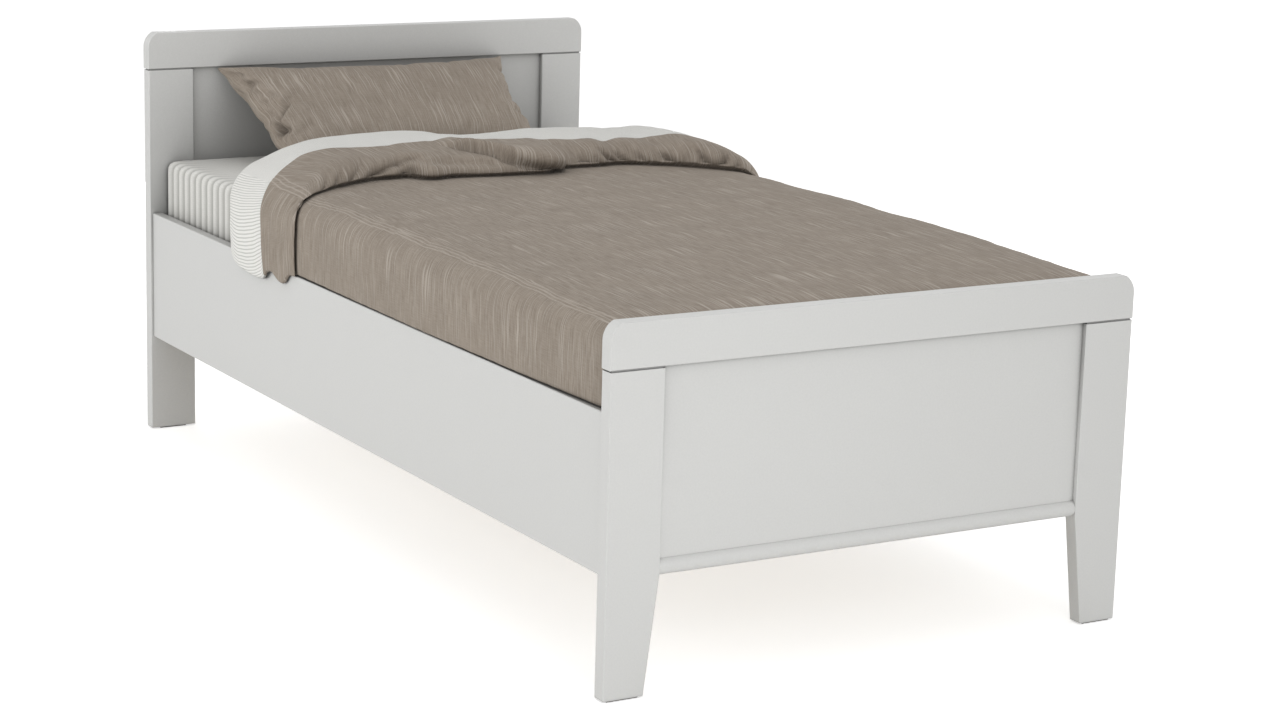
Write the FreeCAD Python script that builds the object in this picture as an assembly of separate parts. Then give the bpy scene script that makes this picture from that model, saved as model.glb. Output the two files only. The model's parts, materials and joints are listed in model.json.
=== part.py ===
import FreeCAD, Part
import math
import os

# Single bed: framed headboard and footboard, side rails that hook into the posts, a slatted
# base on ledges, a ribbed mattress, a duvet with its head end turned back, and a pillow.
# Millimetres. The origin is on the floor under the middle of the bed, +Y towards the head
# and +Z up, so "left" is the -X side and "right" the +X side.

Vector = FreeCAD.Vector
X_AXIS = Vector(1, 0, 0)
Y_AXIS = Vector(0, 1, 0)
Z_AXIS = Vector(0, 0, 1)

# Mattress, which the whole bed is built round
mattress_width = 1000.0
mattress_length = 2000.0
mattress_thickness = 190.0
mattress_side_gap = 7.0
mattress_end_gap = 6.0
cover_wall = 14.0
rib_pitch = 32.0
rib_depth = 1.75
edge_inset = 9.0
edge_height = 13.0
edge_rib_depth = 1.0

# Boards of the headboard and footboard
board_thickness = 30.0
leg_width = 102.5
leg_stand_out = 6.2
head_height = 882.0
foot_height = 641.0
top_rail_height = 78.5
top_rail_overhang = 1.3
corner_in = 20.0
corner_down = 32.0
shadow_gap = 3.0
shadow_depth = 3.0
edge_bevel = 1.3
panel_thickness = 8.0
groove_depth = 10.0
groove_clearance = 0.1
foot_taper_height = 208.0
foot_bottom_width = 77.0

# Low rails between the legs; the one at the foot has a rounded nose
low_rail_bottom = 206.0
low_rail_height = 28.0
low_rail_inset = 1.5
bead_nose = 9.0

# Loose tenons that join the posts to the top rails
loose_tenon_width = 44.0
loose_tenon_thickness = 10.0
loose_tenon_length = 50.0
tenon_clearance = 0.1

# Felt pads under the legs
pad_width = 60.0
pad_depth = 22.0
pad_height = 3.0

# Side rails, with a ledge screwed to the inside of each
rail_thickness = 22.0
rail_height = 276.0
rail_bottom = 211.0
ledge_lift = 100.0
ledge_height = 30.0
ledge_width = 32.0
ledge_end_gap = 60.0
ledge_screw_count = 4
ledge_screw_end = 120.0

# Hook fittings that hang the side rails in the posts
hook_thickness = 2.5
hook_plate_height = 124.0
hook_plate_length = 42.0
hook_neck = 12.0
hook_drop = 12.0
hook_lip = 6.0
hook_pitch = 62.0
hook_clearance = 0.2
slot_side_gap = 0.5
slot_spare = 2.0
slot_plate_height = 158.0
slot_plate_width = 18.0
slot_plate_thickness = 2.5
mortise_gap = 1.2
screw_edge = 9.0
hook_screw_back = 15.0

# Countersunk screws: radius of the shank and of the head, height of the head, whole length.
# They have eight sides, which keeps the model light.
fitting_screw = {"shank": 2.0, "head": 3.8, "sink": 2.2, "length": 16.0}
ledge_screw = {"shank": 2.4, "head": 4.8, "sink": 3.0, "length": 46.0}
screw_sides = 8
screw_clearance = 0.1

# Slatted base
base_side_gap = 12.0
base_end_gap = 16.0
base_bar_thickness = 22.0
base_bar_height = 50.0
tenon_length = 10.0
tenon_height = 30.0
tenon_thickness = 7.0
slat_count = 14
slat_width = 68.0
slat_thickness = 8.0
slat_bow = 12.0
slat_end_margin = 46.0
slat_seat = 3.0
slat_clearance = 0.2
holder_length = 34.0
holder_wall = 4.0

# Duvet. It is drawn as one slice along the bed, which is carried across the bed from hem to
# hem: the lying layer from the foot to the free edge, then the turned-back end on top of it.
# The places of the free edge and of the fold are measured back from the head of the mattress.
rest_clearance = 0.4
duvet_loft = 45.0
duvet_foot_gap = 2.6
duvet_foot_round = 60.0
duvet_belly = 4.0
fold_free_middle = 682.0
fold_free_side = 782.0
fold_head_middle = 376.0
fold_head_side = 442.0
fold_loft = 88.0
fold_crest = 98.0
fold_tuck = 22.0
fold_shoulder = 58.0
fold_back = 62.0
duvet_foot_top_share = 0.8
duvet_foot_end_share = 0.4
round_share = 0.41
crease_share = 0.2
# The slices from the middle of the bed to the hem: how far out over the top of the mattress
# each lies, how far down its side, and how far it has turned from level to upright
slice_across_shares = (0, 0.19, 0.38, 0.56, 0.72, 0.84, 0.93, 1, 1, 1, 1, 1, 1)
slice_down_shares = (0, 0, 0, 0, 0, 0, 0, 0, 0, 0, 0, 0.5, 1)
slice_upright_shares = (1, 1, 1, 1, 1, 1, 1, 1, 0.67, 0.33, 0, 0, 0)
# At each slice: loft of the lying layer, places of the free edge and of the fold from their
# side values to their middle ones, loft of the turned-back end and of its crest
slice_loft_shares = (1, 1, 0.99, 0.97, 0.95, 0.93, 0.88, 0.78, 0.68, 0.6, 0.58, 0.62, 0.58)
slice_free_shares = (1, 1.02, 1.06, 1.06, 0.95, 0.68, 0.34, 0.12, 0.06, 0.02, 0, 0, 0)
slice_head_shares = (1, 1, 0.95, 0.87, 0.75, 0.6, 0.48, 0.36, 0.25, 0.16, 0.1, 0.02, 0)
slice_fold_shares = (1, 1, 1.01, 1.02, 1.01, 0.94, 0.75, 0.55, 0.42, 0.38, 0.42, 0.45, 0.43)
slice_crest_shares = (1, 1.03, 1.05, 1.04, 0.98, 0.86, 0.69, 0.55, 0.42, 0.38, 0.39, 0.41, 0.39)

# The corners of the turned-back end that hang outside the side rails: how far each point of
# the outline lies below the rail's top and back from the head of the mattress
flap_hem_drop = 34.0
flap_seam_drop = 35.5
flap_tip_drop = 26.0
flap_round = 7.0
flap_inset = 0.5
flap_seam = 602.0
flap_tip = 717.0
flap_free = 754.0
flap_head = 463.0

# Pillow, leaning on the headboard
pillow_width = 710.0
pillow_height = 376.0
pillow_thickness = 112.0
pillow_lean_angle = 31.0
pillow_shift = 28.0
pillow_waist = 50.0
pillow_seam = 3.0
pillow_run_shares = (-1, -0.91, -0.6, -0.1, 0.45, 0.85, 1)
pillow_loft_shares = (0.1, 0.44, 0.84, 1, 0.88, 0.45, 0.1)
pillow_waist_shares = (0, 0.4, 0.85, 1, 0.92, 0.5, 0)
pillow_shoulder_share = 0.88
pillow_shoulder_loft_share = 0.52
pillow_cheek_share = 0.62
pillow_cheek_loft_share = 0.86

# How far every cut runs past the face that it opens
overrun = 5.0

# Places worked out from the sizes above
mattress_half_width = mattress_width / 2
mattress_half_length = mattress_length / 2
rail_inner = mattress_half_width + mattress_side_gap
rail_outer = rail_inner + rail_thickness
rail_top = rail_bottom + rail_height
board_inner = mattress_half_length + mattress_end_gap
board_outer = board_inner + board_thickness
board_middle = board_inner + board_thickness / 2
leg_outer = rail_outer + leg_stand_out
leg_inner = leg_outer - leg_width
top_rail_half = leg_outer + top_rail_overhang
low_rail_top = low_rail_bottom + low_rail_height
ledge_bottom = rail_bottom + ledge_lift
ledge_top = ledge_bottom + ledge_height
ledge_inner = rail_inner - ledge_width
ledge_half = board_inner - ledge_end_gap
base_half_width = rail_inner - base_side_gap
base_half_length = board_inner - base_end_gap
base_inside = base_half_width - base_bar_thickness
base_top = ledge_top + base_bar_height
slat_low = base_top + slat_seat
mattress_bottom = slat_low + slat_bow + slat_thickness + rest_clearance
mattress_top = mattress_bottom + mattress_thickness
hook_middle = (rail_bottom + rail_top) / 2
hook_x = rail_inner + hook_thickness / 2
panel_half = panel_thickness / 2
groove_half = panel_half + groove_clearance
hem = rail_top + rest_clearance


def box(x0, x1, y0, y1, z0, z1):
    """A block between two corners."""
    corner = Vector(min(x0, x1), min(y0, y1), min(z0, z1))
    return Part.makeBox(abs(x1 - x0), abs(y1 - y0), abs(z1 - z0), corner)


def line(a, b):
    return Part.LineSegment(a, b).toShape()


def arc(a, b, c):
    return Part.Arc(a, b, c).toShape()


def bend(a, b, corner, share):
    """The arc from a to b that leaves its chord towards a corner, by a share of the way."""
    middle = (a + b) / 2
    return arc(a, middle + (corner - middle) * share, b)


def polygon(points):
    """The closed outline through some points."""
    return [line(a, b) for a, b in zip(points, points[1:] + points[:1])]


def face_of(edges):
    return Part.Face(Part.Wire(edges))


def mirror_x(shape):
    return shape.mirror(Vector(0, 0, 0), X_AXIS)


def mirror_y(shape):
    return shape.mirror(Vector(0, 0, 0), Y_AXIS)


def four_corners(shape):
    """A shape at the head on the right, with its copies at the other three corners."""
    return [shape, mirror_x(shape), mirror_y(shape), mirror_y(mirror_x(shape))]


def save(node, shape):
    """Write one node, and say what it holds."""
    shape.exportStep(os.path.join("parts", node + ".step"))
    print(node, len(shape.Solids), "solid(s), valid:", shape.isValid())


def edge_direction(edge):
    """The unit direction from one end of an edge to the other."""
    return (edge.Vertexes[-1].Point - edge.Vertexes[0].Point).normalize()


def eased(shape, wanted):
    """The shape with a small bevel along each edge that wanted(direction) picks."""
    edges = [edge for edge in shape.Edges if wanted(edge_direction(edge))]
    return shape.makeChamfer(edge_bevel, edges)


def along_y(direction):
    return abs(direction.y) > 0.99


def across_board(direction):
    """True for the edges round a board's faces, and not for those through its thickness."""
    return not along_y(direction)


def upright(direction):
    return abs(direction.z) > 0.9


def ring(middle, direction, radius):
    """The corners of a regular outline round a point, square to a direction."""
    facing = FreeCAD.Rotation(Z_AXIS, direction)
    points = []
    for side in range(screw_sides):
        turn = 2 * math.pi * side / screw_sides
        points.append(middle + facing.multVec(Vector(math.cos(turn), math.sin(turn), 0)) * radius)
    return points


def screw(head_at, direction, size, spare):
    """A countersunk screw with its head flush at a point; spare makes the hole for it."""
    neck = head_at + direction * size["sink"]
    tip = head_at + direction * (size["length"] + spare)
    rings = [
        ring(head_at, direction, size["head"] + spare),
        ring(neck, direction, size["shank"] + spare),
        ring(tip, direction, size["shank"] + spare),
    ]
    faces = [face_of(polygon(rings[0])), face_of(polygon(rings[-1]))]
    for near, far in zip(rings, rings[1:]):
        for side in range(screw_sides):
            after = (side + 1) % screw_sides
            faces.append(face_of(polygon([near[side], near[after], far[after], far[side]])))
    return Part.Solid(Part.Shell(faces))


def top_rail(height):
    """The board across the top of two posts, with its two upper corners rounded off."""
    low = height - top_rail_height
    start = height - corner_down
    radius = (corner_in ** 2 + corner_down ** 2) / (2 * corner_in)
    half_turn = math.asin(corner_down / radius) / 2
    bow = Vector(radius - radius * math.cos(half_turn), 0, radius * math.sin(half_turn))
    side = Vector(top_rail_half, board_inner, start)
    top = Vector(top_rail_half - corner_in, board_inner, height)
    bottom = Vector(top_rail_half, board_inner, low)
    middle = Vector(side.x - bow.x, side.y, side.z + bow.z)

    def left(point):
        return Vector(-point.x, point.y, point.z)

    outline = [
        line(left(bottom), bottom),
        line(bottom, side),
        arc(side, middle, top),
        line(top, left(top)),
        arc(left(top), left(middle), left(side)),
        line(left(side), left(bottom)),
    ]
    board = face_of(outline).extrude(Y_AXIS * board_thickness)
    board = eased(board, across_board)
    reach = leg_inner + groove_depth
    groove = box(-reach, reach, board_middle - groove_half, board_middle + groove_half,
                 low - overrun, low + groove_depth + groove_clearance)
    tenon = loose_tenon(low, tenon_clearance)
    return board.cut(groove).cut(tenon).cut(mirror_x(tenon))


def loose_tenon(joint_height, spare):
    """The flat tenon in the top of the right-hand post; spare makes the mortises for it."""
    x = leg_outer - (leg_width - groove_depth) / 2
    wide = loose_tenon_width / 2 + spare
    thick = loose_tenon_thickness / 2 + spare
    reach = loose_tenon_length / 2 + spare
    return box(x - wide, x + wide, board_middle - thick, board_middle + thick,
               joint_height - reach, joint_height + reach)


def leg(height, bottom_width):
    """A right-hand post; a bottom narrower than the post gives it a tapered inner side."""
    top = height - top_rail_height
    shoulder = top - shadow_gap
    y = board_inner
    outline = polygon([
        Vector(leg_outer, y, pad_height),
        Vector(leg_outer, y, shoulder),
        Vector(leg_inner, y, shoulder),
        Vector(leg_inner, y, foot_taper_height),
        Vector(leg_outer - bottom_width, y, pad_height),
    ])
    board = face_of(outline).extrude(Y_AXIS * board_thickness)
    board = eased(board.removeSplitter(), upright)
    neck = box(leg_inner + shadow_depth, leg_outer - shadow_depth, y + shadow_depth,
               y + board_thickness - shadow_depth, shoulder - shadow_gap, top)
    board = board.fuse(neck).removeSplitter()
    groove = box(leg_inner - overrun, leg_inner + groove_depth + groove_clearance,
                 board_middle - groove_half, board_middle + groove_half,
                 low_rail_bottom, top + overrun)
    board = board.cut(groove).cut(loose_tenon(top, tenon_clearance))
    return board.cut(slot_plate_pocket())


def leg_pad(bottom_width):
    """The pad stuck under the right-hand leg."""
    x = leg_outer - bottom_width / 2
    return box(x - pad_width / 2, x + pad_width / 2, board_middle - pad_depth / 2,
               board_middle + pad_depth / 2, 0, pad_height)


def panel(height):
    """The thin board held all round in the grooves."""
    reach = leg_inner + groove_depth
    return box(-reach, reach, board_middle - panel_half, board_middle + panel_half,
               low_rail_top - groove_depth, height - top_rail_height + groove_depth)


def low_rail(nose):
    """The rail under a panel, with a stub tenon at each end; a nose rounds its outer face."""
    back = board_inner + low_rail_inset
    front = board_outer - low_rail_inset
    middle = (low_rail_bottom + low_rail_top) / 2
    corners = [
        Vector(-leg_inner, front - nose, low_rail_top),
        Vector(-leg_inner, back, low_rail_top),
        Vector(-leg_inner, back, low_rail_bottom),
        Vector(-leg_inner, front - nose, low_rail_bottom),
    ]
    outline = polygon(corners)
    if nose:
        outline[-1] = arc(corners[-1], Vector(-leg_inner, front, middle), corners[0])
    bar = face_of(outline).extrude(X_AXIS * 2 * leg_inner)
    reach = leg_inner + groove_depth
    tenons = box(-reach, reach, board_middle - panel_half, board_middle + panel_half,
                 low_rail_bottom, low_rail_top)
    groove = box(-reach - overrun, reach + overrun, board_middle - groove_half,
                 board_middle + groove_half, low_rail_top - groove_depth - groove_clearance,
                 low_rail_top + overrun)
    return bar.fuse(tenons).removeSplitter().cut(groove)


# The hook fittings and the side rails are drawn at the head on the right.


def hook_heights():
    """The under-side of the neck of each hook."""
    low = hook_middle - hook_neck / 2
    return (low - hook_pitch / 2, low + hook_pitch / 2)


def hook_plate():
    """A flat steel plate let into the rail, with two hooks that pass through the slot plate."""
    near = rail_inner
    far = rail_inner + hook_thickness
    half = hook_plate_height / 2
    plate = box(near, far, board_inner - hook_plate_length, board_inner,
                hook_middle - half, hook_middle + half)
    behind = board_inner + slot_plate_thickness + hook_clearance
    tip = behind + hook_lip
    for z in hook_heights():
        neck = box(near, far, board_inner - overrun, tip, z, z + hook_neck)
        lip = box(near, far, behind, tip, z - hook_drop, z + hook_neck)
        plate = plate.fuse(neck).fuse(lip)
    return plate.removeSplitter().cut(hook_screws(screw_clearance))


def hook_screws(spare):
    y = board_inner - hook_plate_length + hook_screw_back
    reach = hook_plate_height / 2 - screw_edge
    places = [Vector(rail_inner, y, hook_middle + side * reach) for side in (-1, 1)]
    return Part.makeCompound([screw(at, X_AXIS, fitting_screw, spare) for at in places])


def slot_plate():
    """The plate in the post: each slot is tall enough to let its hook in and then drop."""
    half = slot_plate_height / 2
    wide = slot_plate_width / 2
    plate = box(hook_x - wide, hook_x + wide, board_inner, board_inner + slot_plate_thickness,
                hook_middle - half, hook_middle + half)
    side = hook_thickness / 2 + slot_side_gap
    for z in hook_heights():
        slot = box(hook_x - side, hook_x + side, board_inner - overrun,
                   board_inner + slot_plate_thickness + overrun,
                   z, z + hook_neck + hook_drop + slot_spare)
        plate = plate.cut(slot)
    return plate.cut(slot_plate_screws(screw_clearance))


def slot_plate_screws(spare):
    reach = slot_plate_height / 2 - screw_edge
    places = [Vector(hook_x, board_inner, hook_middle + side * reach) for side in (-1, 1)]
    return Part.makeCompound([screw(at, Y_AXIS, fitting_screw, spare) for at in places])


def slot_plate_pocket():
    """What is cut from a post for its slot plate, for the hooks behind it and for its screws."""
    half = slot_plate_height / 2
    wide = slot_plate_width / 2
    pocket = box(hook_x - wide, hook_x + wide, board_inner - overrun,
                 board_inner + slot_plate_thickness, hook_middle - half, hook_middle + half)
    side = hook_thickness / 2 + mortise_gap
    depth = board_inner + slot_plate_thickness + hook_clearance + hook_lip + mortise_gap
    for z in hook_heights():
        pocket = pocket.fuse(box(hook_x - side, hook_x + side, board_inner, depth,
                                 z - hook_drop - mortise_gap,
                                 z + hook_neck + hook_drop + slot_spare + mortise_gap))
    return pocket.fuse(slot_plate_screws(screw_clearance))


def side_rail():
    rail = box(rail_inner, rail_outer, -board_inner, board_inner, rail_bottom, rail_top)
    rail = eased(rail, along_y)
    half = hook_plate_height / 2
    recess = box(rail_inner - overrun, rail_inner + hook_thickness,
                 board_inner - hook_plate_length, board_inner + overrun,
                 hook_middle - half, hook_middle + half)
    end_cut = recess.fuse(hook_screws(screw_clearance))
    return rail.cut(end_cut).cut(mirror_y(end_cut)).cut(ledge_screws(screw_clearance))


def ledge():
    """The bar along the inside of a side rail that carries the slatted base."""
    bar = box(ledge_inner, rail_inner, -ledge_half, ledge_half, ledge_bottom, ledge_top)
    return bar.cut(ledge_screws(screw_clearance))


def ledge_screws(spare):
    reach = ledge_half - ledge_screw_end
    step = 2 * reach / (ledge_screw_count - 1)
    middle = (ledge_bottom + ledge_top) / 2
    screws = []
    for index in range(ledge_screw_count):
        at = Vector(ledge_inner, -reach + index * step, middle)
        screws.append(screw(at, X_AXIS, ledge_screw, spare))
    return Part.makeCompound(screws)


# The slatted base


def base_side():
    """The long bar of the base on the right, mortised for the end bars."""
    bar = box(base_inside, base_half_width, -base_half_length, base_half_length,
              ledge_top, base_top)
    mortise = base_end_tenon(tenon_clearance)
    return bar.cut(mortise).cut(mirror_y(mortise))


def base_end_tenon(spare):
    """The stub tenon on the right end of the bar at the head; spare makes its mortise."""
    z = (ledge_top + base_top) / 2
    y = base_half_length - base_bar_thickness / 2
    thick = tenon_thickness / 2 + spare
    high = tenon_height / 2 + spare
    return box(base_inside, base_inside + tenon_length + spare,
               y - thick, y + thick, z - high, z + high)


def base_end():
    """The bar of the base at the head."""
    bar = box(-base_inside, base_inside, base_half_length - base_bar_thickness,
              base_half_length, ledge_top, base_top)
    tenon = base_end_tenon(0)
    return bar.fuse(tenon).fuse(mirror_x(tenon)).removeSplitter()


def slat(y, spare):
    """A bowed slat across the base at y; spare makes the blank that cuts its seats."""
    half = base_half_width - holder_wall + spare
    low = slat_low - spare
    high = slat_low + slat_thickness + spare
    start = y - slat_width / 2 - spare
    outline = [
        arc(Vector(-half, start, low), Vector(0, start, low + slat_bow), Vector(half, start, low)),
        line(Vector(half, start, low), Vector(half, start, high)),
        arc(Vector(half, start, high), Vector(0, start, high + slat_bow),
            Vector(-half, start, high)),
        line(Vector(-half, start, high), Vector(-half, start, low)),
    ]
    return face_of(outline).extrude(Y_AXIS * (slat_width + 2 * spare))


def slat_places():
    reach = base_half_length - base_bar_thickness - slat_end_margin
    step = 2 * reach / (slat_count - 1)
    return [-reach + index * step for index in range(slat_count)]


def slat_holder(y):
    """The cap on the right-hand bar that takes a slat's end, open towards the middle."""
    half = slat_width / 2 + holder_wall
    high = slat_low + slat_thickness + holder_wall
    body = box(base_half_width - holder_length, base_half_width, y - half, y + half, base_top, high)
    return body.cut(slat(y, slat_clearance))


# The mattress


def ribbed_outline(z, inset, depth):
    """The mattress seen from above: one shallow rib after another all round."""
    half_x = mattress_half_width - inset - depth
    half_y = mattress_half_length - inset - depth
    across = round(mattress_width / rib_pitch)
    along = round(mattress_length / rib_pitch)
    corners = [Vector(-half_x, -half_y, z), Vector(half_x, -half_y, z),
               Vector(half_x, half_y, z), Vector(-half_x, half_y, z)]
    edges = []
    for index, count in enumerate((across, along, across, along)):
        start = corners[index]
        side = corners[(index + 1) % len(corners)] - start
        outward = side.cross(Z_AXIS).normalize() * depth
        for rib in range(count):
            a = start + side * (rib / count)
            b = start + side * ((rib + 1) / count)
            edges.append(arc(a, (a + b) / 2 + outward, b))
    return Part.Wire(edges)


def mattress_core():
    reach_x = mattress_half_width - cover_wall
    reach_y = mattress_half_length - cover_wall
    return box(-reach_x, reach_x, -reach_y, reach_y,
               mattress_bottom + cover_wall, mattress_top - cover_wall)


def mattress_cover():
    """The quilted cover, whose ribs run up the sides and over the top edge."""
    outlines = [
        ribbed_outline(mattress_bottom, 0, rib_depth),
        ribbed_outline(mattress_top - edge_height, 0, rib_depth),
        ribbed_outline(mattress_top, edge_inset, edge_rib_depth),
    ]
    return Part.makeLoft(outlines, True, True).cut(mattress_core())


# The duvet


def between(side, middle, share):
    return side + (middle - side) * share


def slice_foot(across, down, upright_share):
    """Where a slice of the duvet stands on the mattress, and the direction away from it."""
    turn = math.pi / 2 * upright_share
    top = mattress_top - edge_height
    x = (mattress_half_width - edge_inset) * across
    z = top - (top - hem) * down
    if across == 1:
        x += (edge_inset + rest_clearance) * math.cos(turn)
    z += (edge_height + rest_clearance) * math.sin(turn)
    return Vector(x, 0, z), Vector(math.cos(turn), 0, math.sin(turn))


def duvet_slice(index, side):
    """One slice along the bed, on the side +1 or -1; index 0 is the middle of the bed."""
    foot, out = slice_foot(slice_across_shares[index], slice_down_shares[index],
                           slice_upright_shares[index])
    lying = duvet_loft * slice_loft_shares[index]
    loft = fold_loft * slice_fold_shares[index]
    crest = fold_crest * slice_crest_shares[index]
    free = mattress_half_length - between(fold_free_side, fold_free_middle, slice_free_shares[index])
    head = mattress_half_length - between(fold_head_side, fold_head_middle, slice_head_shares[index])
    tuck = free + fold_tuck * loft / fold_loft
    brow = free + fold_shoulder * loft / fold_loft
    peak = head - fold_back * crest / fold_crest
    end = -(board_inner - duvet_foot_gap)
    ankle = end + duvet_foot_round
    ankle_loft = lying * duvet_foot_top_share
    toe_loft = lying * duvet_foot_end_share
    belly = duvet_belly * lying / duvet_loft
    nose = (lying + loft) / 2

    def at(y, n):
        return Vector(side * (foot.x + out.x * n), y, foot.z + out.z * n)

    return Part.Wire([
        line(at(end, 0), at(peak, 0)),
        bend(at(peak, 0), at(head, crest / 2), at(head, 0), round_share),
        bend(at(head, crest / 2), at(peak, crest), at(head, crest), round_share),
        arc(at(peak, crest), at((peak + brow) / 2, (crest + loft) / 2 + belly / 2), at(brow, loft)),
        bend(at(brow, loft), at(free, nose), at(free, loft), round_share),
        bend(at(free, nose), at(tuck, lying), at(free, lying), crease_share),
        arc(at(tuck, lying), at((tuck + ankle) / 2, (lying + ankle_loft) / 2 + belly),
            at(ankle, ankle_loft)),
        bend(at(ankle, ankle_loft), at(end, toe_loft), at(end, ankle_loft), round_share),
        line(at(end, toe_loft), at(end, 0)),
    ])


def flap():
    """The corner of the turned-back end that hangs outside the right-hand rail."""
    hem_loft = fold_loft * slice_fold_shares[-1]
    x = rail_outer + rest_clearance
    thickness = mattress_half_width + rest_clearance + hem_loft - flap_inset - x

    def at(back, drop):
        return Vector(x, mattress_half_length - back, hem - drop)

    middle = (flap_head + flap_seam) / 2
    outline = [
        line(at(flap_free, 0), at(flap_head, 0)),
        line(at(flap_head, 0), at(flap_head, flap_hem_drop - flap_round)),
        bend(at(flap_head, flap_hem_drop - flap_round), at(flap_head + flap_round, flap_hem_drop),
             at(flap_head, flap_hem_drop), round_share),
        line(at(flap_head + flap_round, flap_hem_drop), at(middle, flap_hem_drop)),
        line(at(middle, flap_hem_drop), at(flap_seam, flap_seam_drop)),
        line(at(flap_seam, flap_seam_drop), at(flap_tip, flap_tip_drop)),
        bend(at(flap_tip, flap_tip_drop), at(flap_tip + flap_round, flap_tip_drop - flap_round),
             at(flap_tip + flap_round, flap_tip_drop), round_share),
        line(at(flap_tip + flap_round, flap_tip_drop - flap_round), at(flap_free, 0)),
    ]
    return face_of(outline).extrude(X_AXIS * thickness)


def duvet():
    last = len(slice_across_shares) - 1
    slices = [duvet_slice(index, -1) for index in range(last, 0, -1)]
    slices += [duvet_slice(index, 1) for index in range(last + 1)]
    body = Part.makeLoft(slices, True, True)
    return body.fuse(flap()).fuse(mirror_x(flap()))


# The pillow


def pillow_section(run_share, loft_share, waist_share):
    """A slice across the pillow lying flat: width on X, height on Y, thickness on Z."""
    half = (pillow_width - pillow_waist * waist_share) / 2
    y = pillow_height / 2 * run_share
    thick = pillow_thickness / 2 * loft_share
    seam = min(pillow_seam, thick / 2)
    edges = []
    for side in (1, -1):
        profile = [
            Vector(-half, y, seam),
            Vector(-half * pillow_shoulder_share, y, max(seam, thick * pillow_shoulder_loft_share)),
            Vector(-half * pillow_cheek_share, y, max(seam, thick * pillow_cheek_loft_share)),
            Vector(0, y, thick),
        ]
        start = [Vector(point.x * side, y, point.z * side) for point in profile]
        end = [Vector(-point.x, y, point.z) for point in start]
        edges.append(arc(start[0], start[1], start[2]))
        edges.append(arc(start[2], start[3], end[2]))
        edges.append(arc(end[2], end[1], end[0]))
        edges.append(line(end[0], Vector(end[0].x, y, -end[0].z)))
    return Part.Wire(edges)


def pillow():
    """The pillow, tilted and set down on the mattress against the headboard."""
    sections = []
    for shares in zip(pillow_run_shares, pillow_loft_shares, pillow_waist_shares):
        sections.append(pillow_section(*shares))
    cushion = Part.makeLoft(sections, True, True)
    cushion.rotate(Vector(0, 0, 0), X_AXIS, pillow_lean_angle)
    reach = cushion.optimalBoundingBox(True, False)
    cushion.translate(Vector(-pillow_shift, board_inner - rest_clearance - reach.YMax,
                             mattress_top + rest_clearance - reach.ZMin))
    return cushion


def build_boards():
    head_leg = leg(head_height, leg_width)
    foot_leg = mirror_y(leg(foot_height, foot_bottom_width))
    save("head_leg_right", head_leg)
    save("head_leg_left", mirror_x(head_leg))
    save("foot_leg_right", foot_leg)
    save("foot_leg_left", mirror_x(foot_leg))
    save("head_top_rail", top_rail(head_height))
    save("foot_top_rail", mirror_y(top_rail(foot_height)))
    save("head_panel", panel(head_height))
    save("foot_panel", mirror_y(panel(foot_height)))
    save("head_low_rail", low_rail(0))
    save("foot_bead_rail", mirror_y(low_rail(bead_nose)))
    head_tenon = loose_tenon(head_height - top_rail_height, 0)
    foot_tenon = mirror_y(loose_tenon(foot_height - top_rail_height, 0))
    save("head_loose_tenons", Part.makeCompound([head_tenon, mirror_x(head_tenon)]))
    save("foot_loose_tenons", Part.makeCompound([foot_tenon, mirror_x(foot_tenon)]))
    head_pad = leg_pad(leg_width)
    foot_pad = mirror_y(leg_pad(foot_bottom_width))
    save("leg_pads", Part.makeCompound([head_pad, mirror_x(head_pad), foot_pad, mirror_x(foot_pad)]))


def build_rails():
    corners = ("head_right", "head_left", "foot_right", "foot_left")
    for corner, plate, slotted in zip(corners, four_corners(hook_plate()), four_corners(slot_plate())):
        save("hook_plate_" + corner, plate)
        save("slot_plate_" + corner, slotted)
    save("hook_plate_screws", Part.makeCompound(four_corners(hook_screws(0))))
    save("slot_plate_screws", Part.makeCompound(four_corners(slot_plate_screws(0))))
    save("side_rail_right", side_rail())
    save("side_rail_left", mirror_x(side_rail()))
    save("ledge_right", ledge())
    save("ledge_left", mirror_x(ledge()))
    save("ledge_screws", Part.makeCompound([ledge_screws(0), mirror_x(ledge_screws(0))]))


def build_base():
    save("base_side_right", base_side())
    save("base_side_left", mirror_x(base_side()))
    save("base_end_head", base_end())
    save("base_end_foot", mirror_y(base_end()))
    for number, y in enumerate(slat_places(), 1):
        save("slat_{:02d}".format(number), slat(y, 0))
    holders = Part.makeCompound([slat_holder(y) for y in slat_places()])
    save("slat_holders_right", holders)
    save("slat_holders_left", mirror_x(holders))


def build_bedding():
    save("mattress_core", mattress_core())
    save("mattress_cover", mattress_cover())
    save("duvet", duvet())
    save("pillow", pillow())


def main():
    os.makedirs("parts", exist_ok=True)
    build_boards()
    build_rails()
    build_base()
    build_bedding()


main()
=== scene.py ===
# %% [markdown]
# # A single bed, dressed
#
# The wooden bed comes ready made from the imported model: posts, rails, panels, fittings and slats.
# This script gives those pieces their finishes, and makes the soft ones again: the mattress and its
# foam core, the duvet with its turned-back end, and the pillow. Lengths are in metres. The origin is
# on the floor under the middle of the bed, +Y points to the headboard and +Z up.

import json
import math

import bmesh
import bpy
import numpy as np
from mathutils import Matrix, Vector, noise


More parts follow.
